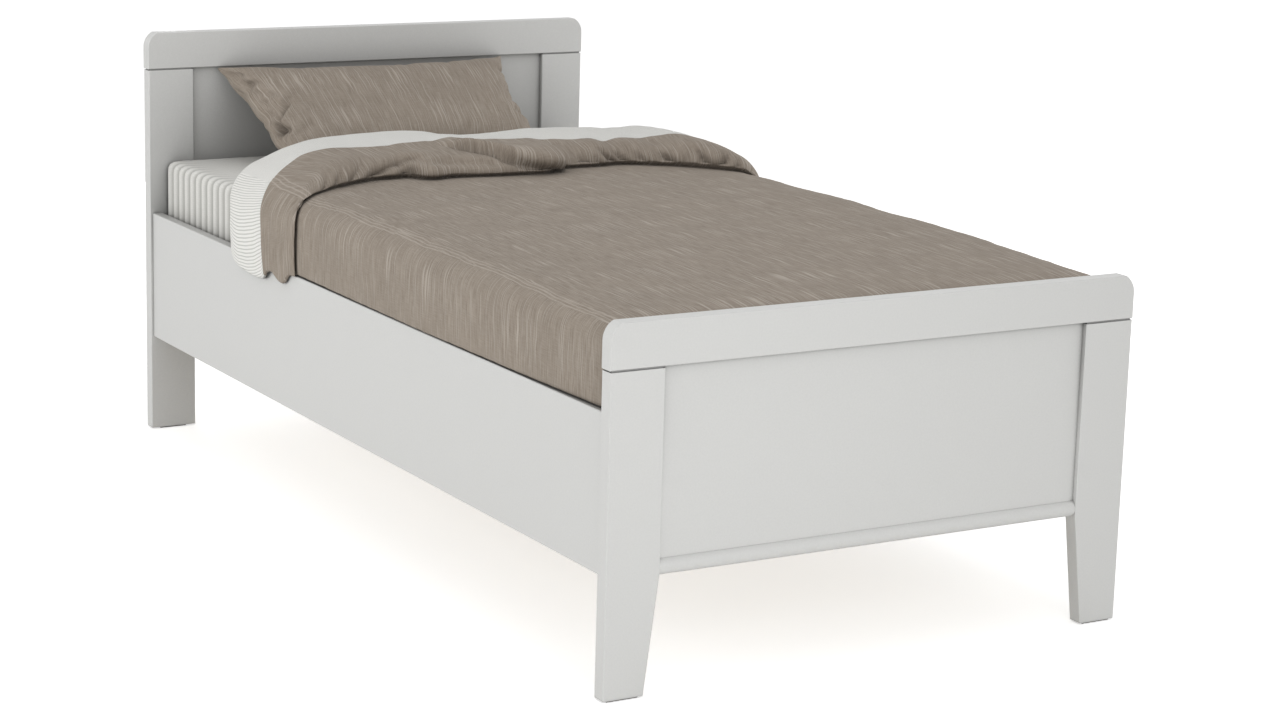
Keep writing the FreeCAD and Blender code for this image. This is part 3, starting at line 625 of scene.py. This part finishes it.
bm = bmesh.new()
uv_layer = bm.loops.layers.uv.new("cloth")
bmesh.ops.create_grid(bm, x_segments=2 * SIDE_COLUMNS, y_segments=ROWS, size=1)
white_layer, across_layer, along_layer, lip_layer, turned_layer, side_layer = (
    bm.verts.layers.float.new(name)
    for name in ("to_seam", "across", "along", "from_lip", "turned", "past_side_seam"))
side_seam = float(np.interp(SEAM_STATION, fine, walked)) + SEAM_SHIFT
columns = []
for column in range(-SIDE_COLUMNS, SIDE_COLUMNS + 1):
    at = float(np.interp(abs(column) * column_width, walked, fine))
    foot, away, row = stand(at)
    points = section(row, column * column_width)
    columns.append((foot, away, points, walked_along(points)))
places = np.array([[(foot.x + away.x * n, y, foot.y + away.y * n) for y, n in points]
                   for foot, away, points, lengths in columns])
paces = np.linalg.norm(np.diff(places, axis=0), axis=2)
walked_rows = np.concatenate((np.zeros((1, ROWS + 1)), np.cumsum(paces, axis=0)))
walked_rows -= walked_rows[SIDE_COLUMNS]
cloth_x = {}
for vertex in bm.verts:
    i = round((vertex.co.x + 1) * SIDE_COLUMNS)
    j = round((vertex.co.y + 1) / 2 * ROWS)
    side = -1 if i < SIDE_COLUMNS else 1
    across = (i - SIDE_COLUMNS) * column_width
    foot, away, points, lengths = columns[i]
    y, n = points[j]
    flat = foot + away * n
    vertex.co = (side * flat.x, y, flat.y)
    line_y = float(np.interp(across * 1000, seam_line[:, 0], seam_line[:, 1])) * MILLI
    vertex[white_layer] = line_y - y if 0 < j <= UPPER_ROWS else WHITE
    vertex[across_layer] = across
    vertex[along_layer] = lengths[j]
    vertex[lip_layer] = lengths[j] - lengths[FIRST_FOLD_ROW]
    # 0 on the flat part, 1 on the turned-back end, -1 on the underside.
    vertex[turned_layer] = 0.0 if j < FIRST_FOLD_ROW else 1.0 if j <= UPPER_ROWS else -1.0
    vertex[side_layer] = abs(vertex[across_layer]) - side_seam
    cloth_x[vertex] = walked_rows[i, j]
for face in bm.faces:
    for corner in face.loops:
        corner[uv_layer].uv = (cloth_x[corner.vert], corner.vert[along_layer])
bmesh.ops.remove_doubles(bm, verts=bm.verts, dist=1e-6)
for side in (-1, 1):
    hem_edges = [e for e in bm.edges if e.is_boundary and e.verts[0].co.x * side > 0]
    bmesh.ops.triangle_fill(bm, edges=hem_edges, use_beauty=True)
bmesh.ops.recalc_face_normals(bm, faces=bm.faces)
print("Duvet grid:", len(bm.faces), "faces,", len([e for e in bm.edges if e.is_boundary]), "open edges")

# %% [markdown]
# The grid is now subdivided once for good, and the finer mesh is shaped: the pleat where the
# right part of the turned-back end lies over the left one, small pinches along its free edge, soft
# unevenness everywhere, and at each side the corner that hangs down outside the rail. Every vertex
# still knows its distance across the bed and from the free edge, so each fold is drawn where it
# is in the photograph.

# %% Tools for shaping
def subdivided(bm, name):
    """The same mesh after one level of subdivision, as a new bmesh."""
    rough = placed(name, mesh_of(bm, name))
    bm.free()
    rough.modifiers.new("smooth", "SUBSURF").levels = 1
    finer = bmesh.new()
    finer.from_object(rough, bpy.context.evaluated_depsgraph_get())
    bpy.data.objects.remove(rough)
    return finer


def hump(value, middle, width):
    """A soft bell round a middle, 1 at its top."""
    return math.exp(-((value - middle) / width) ** 2)


def ease(value, start, end):
    """0 before start and 1 after end, with a smooth rise between them."""
    t = min(max((value - start) / (end - start), 0.0), 1.0)
    return t * t * (3 - 2 * t)


# %% The folds of the turned-back end
PLEAT_RISE, PLEAT_ROUND, PLEAT_FADE = 24, 15, 75  # its height, and the widths of its edge and of its way out
pleat_line = np.array([  # across the bed, and distance from the free edge up over the roll, in millimetres
    (-135, 138), (-115, 124), (-101, 112), (-83, 96), (-65, 78), (-42, 54), (-25, 35), (-2, 18), (20, 11),
    (37, 7), (60, 3), (90, -4), (125, -14)])
pinches = (  # across the bed, depth, width, reach and lean, in millimetres
    (-447, 7, 8, 48, 0.4), (-415, 6, 7, 40, 0.6), (-368, 7, 9, 54, 0.9), (-308, 12, 16, 80, 2.0),
    (-241, 10, 10, 60, -0.2), (172, 14, 20, 90, -0.35), (206, 4, 5, 30, -0.4), (243, 16, 8, 46, -0.85),
    (268, 12, 7, 40, -0.6), (306, 6, 6, 30, -0.4), (355, 14, 8, 48, -0.5), (384, 6, 6, 30, 0.2),
    (415, 15, 8, 50, -0.35), (446, 15, 8, 56, 0.6), (476, 9, 7, 44, 0.3), (505, 6, 8, 40, 0.0),
    (-520, 5, 9, 50, 0.0))
swells = (  # across the bed, distance from the free edge, width across, width along, height
    (-190, 8, 34, 22, 6), (-150, 31, 66, 13, -9), (-62, 27, 46, 12, -7), (-345, 56, 60, 30, 4),
    (-196, 74, 50, 24, 5), (215, 62, 30, 34, 7), (302, 60, 32, 32, 5), (255, 62, 18, 28, -5),
    (400, 46, 26, 30, 5), (350, 66, 18, 26, -5), (-72, 128, 26, 7, -7), (-20, 84, 20, 7, -7))


def fold_height(across, lip):
    """How far the turned-back end stands out at a place, in millimetres."""
    height = 0.0
    if -140 < across < 150:
        line = float(np.interp(across, pleat_line[:, 0], pleat_line[:, 1]))
        strength = PLEAT_RISE * ease(across, -135, -70) * (1 - ease(across, 85, 130))
        beyond = lip - line
        rounded = math.sqrt(max(0.0, 1 - (1 - min(max(beyond, 0.0) / PLEAT_ROUND, 1.0)) ** 2))
        height += strength * rounded * math.exp(-max(beyond - PLEAT_ROUND, 0) / PLEAT_FADE)
        height -= 0.25 * strength * hump(beyond, -6, 8)
    for middle, depth, width, reach, lean in pinches:
        fade = (1 - ease(lip, 6, reach)) * ease(lip, -22, -8)
        aside = across - middle - lean * lip
        height -= depth * math.exp(-abs(aside) / width) * fade
        height += 0.3 * depth * hump(aside, 2.6 * width, 1.5 * width) * fade
        height += 0.2 * depth * hump(aside, -2.6 * width, 1.5 * width) * fade
    for middle, away, wide, deep, high in swells:
        height += high * hump(across, middle, wide) * hump(lip, away, deep)
    return height


# %% Subdivide, then shape
SIDE_SEAM_MM = 506  # where the seam of the side panel puckers, across the bed
bm = subdivided(bm, "duvet_grid")
across_layer, along_layer, lip_layer, turned_layer = (
    bm.verts.layers.float[name] for name in ("across", "along", "from_lip", "turned"))
bm.normal_update()
# Each noise has its strength in millimetres in front, and its waves to a metre behind.
for vertex in bm.verts:
    across, lip = vertex[across_layer] * 1000, vertex[lip_layer] * 1000
    turned = vertex[turned_layer]
    spot = Vector((vertex[across_layer], vertex[along_layer], 0))
    if turned > 0.5:
        height = fold_height(across, lip)
        height += 2.0 * noise.noise(spot * 9) + 1.3 * noise.noise(spot * 24)
    elif turned > -0.5:
        near_edge = ease(abs(across), 330, 520)
        height = (1.2 + 2.0 * near_edge) * noise.noise(spot * 6.5) + 0.8 * noise.noise(spot * 17)
        pucker = hump(abs(across), SIDE_SEAM_MM + 3 * noise.noise(spot * 14), 16)
        height += pucker * (1.6 * noise.noise(spot * 42) - 1.4)
        height *= ease(vertex[along_layer], 0.02, 0.12) * (1 - ease(lip, -60, -18))
    else:
        height = 0.0
    height *= 1 - 0.8 * ease(abs(across), 610, 655)
    vertex.co += vertex.normal * height * MILLI

# %% [markdown]
# The corners of the turned-back end reach over the rails. The underside of the hem is cut along
# the outer face of the rail, and only what lies outside that cut is drawn down, so the cloth hangs
# clear of the wood.

# %% Hanging corners
RAIL_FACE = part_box("side_rail_right")[1].x
CUTS = (0.0007, 0.0030, 0.0055)  # where the hem is cut, outside the rail's face
CLEAR = 0.0006  # what hangs is at least this far from the rail
HANG_LENGTH = 0.11  # the cloth is drawn down from this far above the hem
hang = np.array([  # along the bed, and how far the hem hangs below the rail's top there, in millimetres
    (229, 0), (250, 1), (260, 8), (269, 19), (279, 25), (293, 25), (309, 18), (324, 11), (340, 11), (352, 14),
    (359, 22), (372, 31), (398, 34), (441, 34), (497, 30), (520, 25), (537, 14), (548, 0)])
for side in (-1, 1):
    for distance in CUTS:
        hem_faces = [f for f in bm.faces if f.calc_center_median().z < HEM_Z + 0.001
                     and abs(f.normal.z) > 0.8 and f.calc_center_median().x * side > 0.5]
        parts = set(hem_faces)
        for face in hem_faces:
            parts.update(face.edges)
            parts.update(face.verts)
        bmesh.ops.bisect_plane(bm, geom=list(parts), dist=1e-5,
                               plane_co=(side * (RAIL_FACE + distance), 0, 0), plane_no=(side, 0, 0))
for vertex in bm.verts:
    outside = abs(vertex.co.x) - RAIL_FACE - CLEAR
    if outside > 0 and vertex[turned_layer] > -0.9 and vertex.co.z < HEM_Z + HANG_LENGTH:
        drop = float(np.interp(vertex.co.y * 1000, hang[:, 0], hang[:, 1])) * MILLI
        share = ease(outside, 0, 0.0022) * (1 - ease(vertex.co.z, HEM_Z, HEM_Z + HANG_LENGTH))
        vertex.co.z -= drop * share
print("Duvet:", len(bm.faces), "faces")

# %% [markdown]
# ## Slub cotton, and its white reverse
#
# The cover and the pillow case are woven from uneven taupe yarn. Fine threads lie side by side, and
# here and there one of them is thicker and paler, runs on for a hand's width and thins out. The threads
# follow the cloth, so the pattern reads the UV map, which holds real metres. Real threads are finer
# than a pixel, so they are drawn 2 to 3 mm apart. Beyond the edge of the mattress the side panels are
# sewn on with the weave turned, so there the two directions swap, and a band of puckered threads runs
# along that seam. The white reverse has fine grey stripes that run the other way. Cloth is soft and
# open, so it is dull and only slightly hairy, and its folds get painted shade, a little darker inside.

# %% Bed linen: the direction of the threads
WANDER = 0.018  # how far the seam strays from its straight line, in all
WRIGGLE = 0.007  # how far a thread strays from its own line
linen = empty_material("slub_cotton")
flat_place = add(linen, "ShaderNodeTexCoord").outputs["UV"]
split = add(linen, "ShaderNodeSeparateXYZ", inputs={0: flat_place}).outputs
past_seam = add(linen, "ShaderNodeAttribute", {"attribute_name": "past_side_seam"})
wander = add(linen, "ShaderNodeTexNoise",
             inputs={"Vector": flat_place, "Scale": per_metre(130), "Detail": 1.0})
wander = add(linen, "ShaderNodeMath", MULTIPLY_ADD, {0: wander, 1: WANDER, 2: -WANDER / 2})
from_seam = add(linen, "ShaderNodeMath", {"operation": "ADD"}, {0: past_seam.outputs["Fac"], 1: wander})
side_panel = add(linen, "ShaderNodeMath", {"operation": "GREATER_THAN"}, {0: from_seam, 1: 0.0})
thread_run = add(linen, "ShaderNodeMix", NUMBERS, {0: side_panel, 2: split["Y"], 3: split["X"]})
thread_side = add(linen, "ShaderNodeMix", NUMBERS, {0: side_panel, 2: split["X"], 3: split["Y"]})
wriggle = add(linen, "ShaderNodeTexNoise",
              inputs={"Vector": flat_place, "Scale": per_metre(38), "Detail": 1.0})
wriggle = add(linen, "ShaderNodeMath", MULTIPLY_ADD, {0: wriggle, 1: WRIGGLE, 2: thread_side})
cloth_place = add(linen, "ShaderNodeCombineXYZ", inputs={0: wriggle, 1: thread_run, 2: side_panel})


# %% Bed linen: threads and slubs
def woven(across_mm, along_mm, detail=0.0, lift=0.0):
    """Noise stretched along the threads, with features that many millimetres wide and long."""
    # The third scale sets the side panels in another layer of the noise.
    place = add(linen, "ShaderNodeMapping", inputs={
        "Vector": cloth_place, "Scale": (per_metre(across_mm), per_metre(along_mm), 7.0),
        "Location": (lift, lift, lift)})
    return add(linen, "ShaderNodeTexNoise", inputs={"Vector": place, "Scale": 1.0, "Detail": detail})


threads = add(linen, "ShaderNodeMath", MULTIPLY_ADD,
              {0: woven(22, 1.9, 0.0, 4.0), 1: 0.3, 2: woven(2.3, 44, 1.0)})
thread_tone = add(linen, "ShaderNodeMapRange", inputs={0: threads, 1: 0.42, 2: 0.88})
slub = add(linen, "ShaderNodeMapRange", SMOOTH, {0: woven(2.8, 130, 0.0, 2.0), 1: 0.60, 2: 0.75})

# %% Bed linen: the threads along the seam
SEAM_BAND, SEAM_PITCH = 0.024, 0.0036  # width of the band, and half the distance between its threads
band = add(linen, "ShaderNodeMapRange", SMOOTH, {0: from_seam, 1: -SEAM_BAND, 2: 0.006 - SEAM_BAND})
band = add(linen, "ShaderNodeMath", {"operation": "SUBTRACT"}, {0: band, 1: side_panel})
seam_thread = add(linen, "ShaderNodeMath", {"operation": "PINGPONG"}, {0: from_seam, 1: SEAM_PITCH})
seam_thread = add(linen, "ShaderNodeMapRange", SMOOTH, {0: seam_thread, 1: 0.0018, 2: 0.0034})
seam_thread = add(linen, "ShaderNodeMath", {"operation": "MULTIPLY"}, {0: seam_thread, 1: band})
pale_lines = add(linen, "ShaderNodeMath", {"operation": "MAXIMUM"}, {0: slub, 1: seam_thread})

# %% Bed linen: the taupe side
# The dye took unevenly, so broad patches are a little darker.
dye = add(linen, "ShaderNodeTexNoise", inputs={"Vector": flat_place, "Scale": per_metre(150)})
dye = add(linen, "ShaderNodeMapRange", inputs={0: dye, 1: 0.3, 2: 0.7, 3: 0.94, 4: 1.0})
taupe = add(linen, "ShaderNodeMix", COLOURS, {0: thread_tone, 6: colour("#8E8377"), 7: colour("#A89D91")})
taupe = add(linen, "ShaderNodeMix", COLOURS, {0: pale_lines, 6: taupe.outputs[2], 7: colour("#B7ADA2")})
taupe = add(linen, "ShaderNodeMix", DARKEN, {0: 1.0, 6: taupe.outputs[2], 7: dye})

# %% Bed linen: the white side
STRIPE_MM = 5.4
stripe = add(linen, "ShaderNodeMath", {"operation": "MULTIPLY"}, {0: thread_run, 1: per_metre(STRIPE_MM)})
stripe = add(linen, "ShaderNodeMath", MULTIPLY_ADD, {0: woven(40, 120), 1: 0.4, 2: stripe})
stripe = add(linen, "ShaderNodeMath", {"operation": "PINGPONG"}, {0: stripe, 1: 0.5})
stripe = add(linen, "ShaderNodeMapRange", SMOOTH, {0: stripe, 1: 0.04, 2: 0.26})
white = add(linen, "ShaderNodeMix", COLOURS, {0: stripe, 6: colour("#CBCBC6"), 7: colour("#F1F0EC")})

# %% Bed linen: both sides together
to_seam = add(linen, "ShaderNodeAttribute", {"attribute_name": "to_seam"})
is_white = add(linen, "ShaderNodeMath", {"operation": "LESS_THAN"},
               {0: to_seam.outputs["Fac"], 1: -0.00001})
tone = add(linen, "ShaderNodeMix", COLOURS, {0: is_white, 6: taupe.outputs[2], 7: white.outputs[2]})
# Painted shade: the colour is darker inside the folds.
tone = with_painted_shade(linen, tone.outputs[2], reach=0.06, closed=0.35, free=0.92, darkest=0.58)
relief = add(linen, "ShaderNodeMath", MULTIPLY_ADD, {0: pale_lines, 1: 0.9, 2: thread_tone})
relief = add(linen, "ShaderNodeMix", NUMBERS, {0: is_white, 2: relief, 3: stripe})
weave = add(linen, "ShaderNodeBump", inputs={"Strength": 0.6, "Distance": 0.0012, "Height": relief})
surface(linen, {"Base Color": tone, "Normal": weave, "Roughness": 0.92, "Specular IOR Level": 0.25,
                "Sheen Weight": 0.05})

# %% Finish the duvet
duvet = shown("duvet_in_its_cover", bm, linen, "duvet")
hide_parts("duvet")

# %% [markdown]
# ## Pillow
#
# Two rectangles of cloth are sewn together round their edges. They start as a thin lens, and a cloth
# simulation then blows it up, which pulls the sides in between the corners and puckers the seams. It
# stops while the case is still filling, and no point may move further than the cap. The result is
# fuller than the soft pillow of the photograph, so it is pressed flatter when it is laid in its place.

# %% Sew the pillow case
PILLOW_WIDTH, PILLOW_HEIGHT, PILLOW_THICK = 0.71, 0.376, 0.112
CASE_WIDTH, CASE_HEIGHT, CASE_CAP = 0.73, 0.40, 0.075
SEWN = 0.0001  # vertices of front and back closer than this become one
bm = bmesh.new()
uv_layer = bm.loops.layers.uv.new("cloth")
side_layer = bm.verts.layers.float.new("past_side_seam")
bmesh.ops.create_grid(bm, x_segments=110, y_segments=60, size=1)
for face in bm.faces:
    for corner in face.loops:
        corner[uv_layer].uv = (corner.vert.co.x * CASE_WIDTH / 2, corner.vert.co.y * CASE_HEIGHT / 2)
back = bmesh.ops.duplicate(bm, geom=bm.verts[:] + bm.edges[:] + bm.faces[:])["geom"]
bmesh.ops.reverse_faces(bm, faces=[g for g in back if isinstance(g, bmesh.types.BMFace)])
back_verts = {g for g in back if isinstance(g, bmesh.types.BMVert)}
for vertex in bm.verts:
    # A lens, full in the middle, and past no side seam, so that its threads all run one way.
    x, y = vertex.co.x, vertex.co.y
    fill = (max(0.0, 1 - abs(x) ** 3.2) * max(0.0, 1 - abs(y) ** 2.6)) ** 0.62
    thick = PILLOW_THICK / 2 * fill * 0.7 + 0.0012 * noise.noise(Vector((x * 9, y * 7, 5))) * fill
    vertex.co = (x * CASE_WIDTH / 2, y * CASE_HEIGHT / 2, -thick if vertex in back_verts else thick)
    vertex[side_layer] = -1.0
bmesh.ops.remove_doubles(bm, verts=bm.verts, dist=SEWN)
bmesh.ops.recalc_face_normals(bm, faces=bm.faces)
print("Pillow case:", len(bm.faces), "faces,", len([e for e in bm.edges if e.is_boundary]), "open edges")


# %% Blow the pillow up
def blown_up(bm, name, pressure, frames, cap):
    """Run the cloth simulation on a mesh and return the result, each point held within the cap."""
    loose = placed(name, mesh_of(bm, name))
    cloth = loose.modifiers.new("cloth", "CLOTH")
    settings = cloth.settings
    settings.quality = 6
    settings.mass = 0.25
    settings.tension_stiffness = settings.compression_stiffness = 15
    settings.shear_stiffness = 5
    settings.bending_stiffness = 0.1
    settings.shrink_min = -0.02
    settings.use_pressure = True
    settings.uniform_pressure_force = pressure
    settings.effector_weights.gravity = 0
    cloth.collision_settings.use_collision = False
    cloth.point_cache.frame_start, cloth.point_cache.frame_end = 1, frames
    for frame_number in range(1, frames + 1):
        scene.frame_set(frame_number)
    blown = loose.evaluated_get(bpy.context.evaluated_depsgraph_get()).to_mesh()
    for vertex, moved in zip(bm.verts, blown.vertices):
        way = moved.co - vertex.co
        if way.length > 1e-9:
            vertex.co += way * (cap * math.tanh(way.length / cap) / way.length)
    scene.frame_set(1)
    bpy.data.objects.remove(loose)
    return bm


def half_sizes(bm):
    """The furthest reach of a bmesh from the origin along each axis."""
    return [max(abs(v.co[axis]) for v in bm.verts) for axis in range(3)]


bm = blown_up(bm, "pillow_case", pressure=8.0, frames=14, cap=CASE_CAP)
print("Blown up to", [round(2 * value, 3) for value in half_sizes(bm)])

# %% [markdown]
# The ends of the case hold the slack, so the folds gather there. Each one is a short crease between
# two points of the flat case, drawn as a sharp valley that runs out towards its ends. At the left
# end the case is pushed in, so that its back half stands out beyond the seam.

# %% Creases of the pillow
creases = (  # from x, y to x, y on the flat case, depth and width, in millimetres
    (-408, -26, -292, -84, 34, 10), (-366, -76, -216, 46, 20, 6), (-330, -12, -196, -2, 9, 9),
    (-356, 108, -278, 80, 11, 6), (-356, 30, -272, 46, 12, 5), (-350, 74, -254, 22, 9, 6),
    (-306, -104, -206, -60, 12, 7), (-356, 146, -300, 128, 9, 5), (362, -70, 270, -48, 15, 7),
    (362, 30, 286, 48, 11, 5), (356, 120, 282, 88, 11, 6), (360, -116, 290, -100, 12, 7),
    (344, -10, 256, -24, 8, 7), (-60, 196, -40, 150, 6, 6), (130, 196, 118, 150, 6, 6),
    (-190, 196, -176, 140, 8, 6), (230, 196, 216, 160, 6, 6))


def crease_depth(place):
    """How deep the creases are at a place on the flat case, in millimetres."""
    total = 0.0
    for x0, y0, x1, y1, depth, width in creases:
        a, b = Vector((x0, y0)), Vector((x1, y1))
        share = (place - a).dot(b - a) / (b - a).length_squared
        off = (place - a - (b - a) * min(max(share, 0), 1)).length
        along = math.sin(math.pi * min(max(0.12 + 0.88 * share, 0), 1)) if -0.14 < share < 1 else 0.0
        total += depth * (math.exp(-off / width) - 0.25 * hump(off, 2.6 * width, 1.4 * width)) * along
    return total


bm.normal_update()
on_flat_case = {}
for face in bm.faces:
    for corner in face.loops:
        on_flat_case[corner.vert] = corner[uv_layer].uv.copy() * 1000
for vertex in bm.verts:
    if vertex not in back_verts or vertex.co.z >= 0:
        vertex.co -= vertex.normal * crease_depth(on_flat_case[vertex]) * MILLI

# %% Push the left end in
BACK_OUT, SEAM_IN, SEAM_FORWARD = 0.013, 0.007, 0.006
for vertex in bm.verts:
    place = on_flat_case[vertex]
    if vertex in back_verts and vertex.co.z < -0.003:
        vertex.co.x -= BACK_OUT * ease(-place.x, 240, 340) * (1 - ease(abs(place.y - 40), 100, 190))
    share = ease(-place.x, 318, 360) * (1 - ease(abs(place.y - 20), 130, 190))
    vertex.co.x += SEAM_IN * share
    vertex.co.z += SEAM_FORWARD * share
print("Creases:", len(creases))

# %% [markdown]
# The case is brought to the size of the real pillow and leans back against the headboard. Its own
# weight lets it sink a little at the foot, where it is also narrower than at the top.

# %% Lay the pillow in its place
PILLOW_LEAN = math.radians(31)
PILLOW_TOP = 0.806
FOOT_NARROWER = 0.09  # share by which its lower edge is narrower than its upper one
pillow_low, pillow_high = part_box("pillow")
middle_x = (pillow_low.x + pillow_high.x) / 2
reach = half_sizes(bm)
for vertex in bm.verts:
    vertex.co = (vertex.co.x * PILLOW_WIDTH / 2 / reach[0], vertex.co.y * PILLOW_HEIGHT / 2 / reach[1],
                 vertex.co.z * PILLOW_THICK / 2 / reach[2])
bmesh.ops.rotate(bm, cent=(0, 0, 0), matrix=Matrix.Rotation(PILLOW_LEAN, 3, "X"), verts=bm.verts)
low_z = min(v.co.z for v in bm.verts)
high_y = max(v.co.y for v in bm.verts)
case_middle = (max(v.co.x for v in bm.verts) + min(v.co.x for v in bm.verts)) / 2
bmesh.ops.translate(bm, vec=(middle_x - case_middle, pillow_high.y - high_y, pillow_low.z - low_z),
                    verts=bm.verts)
top_z = max(v.co.z for v in bm.verts)
for vertex in bm.verts:
    rise = (vertex.co.z - pillow_low.z) / (top_z - pillow_low.z)
    vertex.co.z = pillow_low.z + rise * (PILLOW_TOP - pillow_low.z)
    vertex.co.x = middle_x + (vertex.co.x - middle_x) * (1 - FOOT_NARROWER * (1 - rise))

# %% Finish the pillow
pillow = shown("pillow_in_its_case", bm, linen, "pillow")
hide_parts("pillow")
soften = pillow.modifiers.new("soften", "SUBSURF")
soften.levels = soften.render_levels = 1
print("Pillow:", len(pillow.data.polygons), "faces before its subdivision")
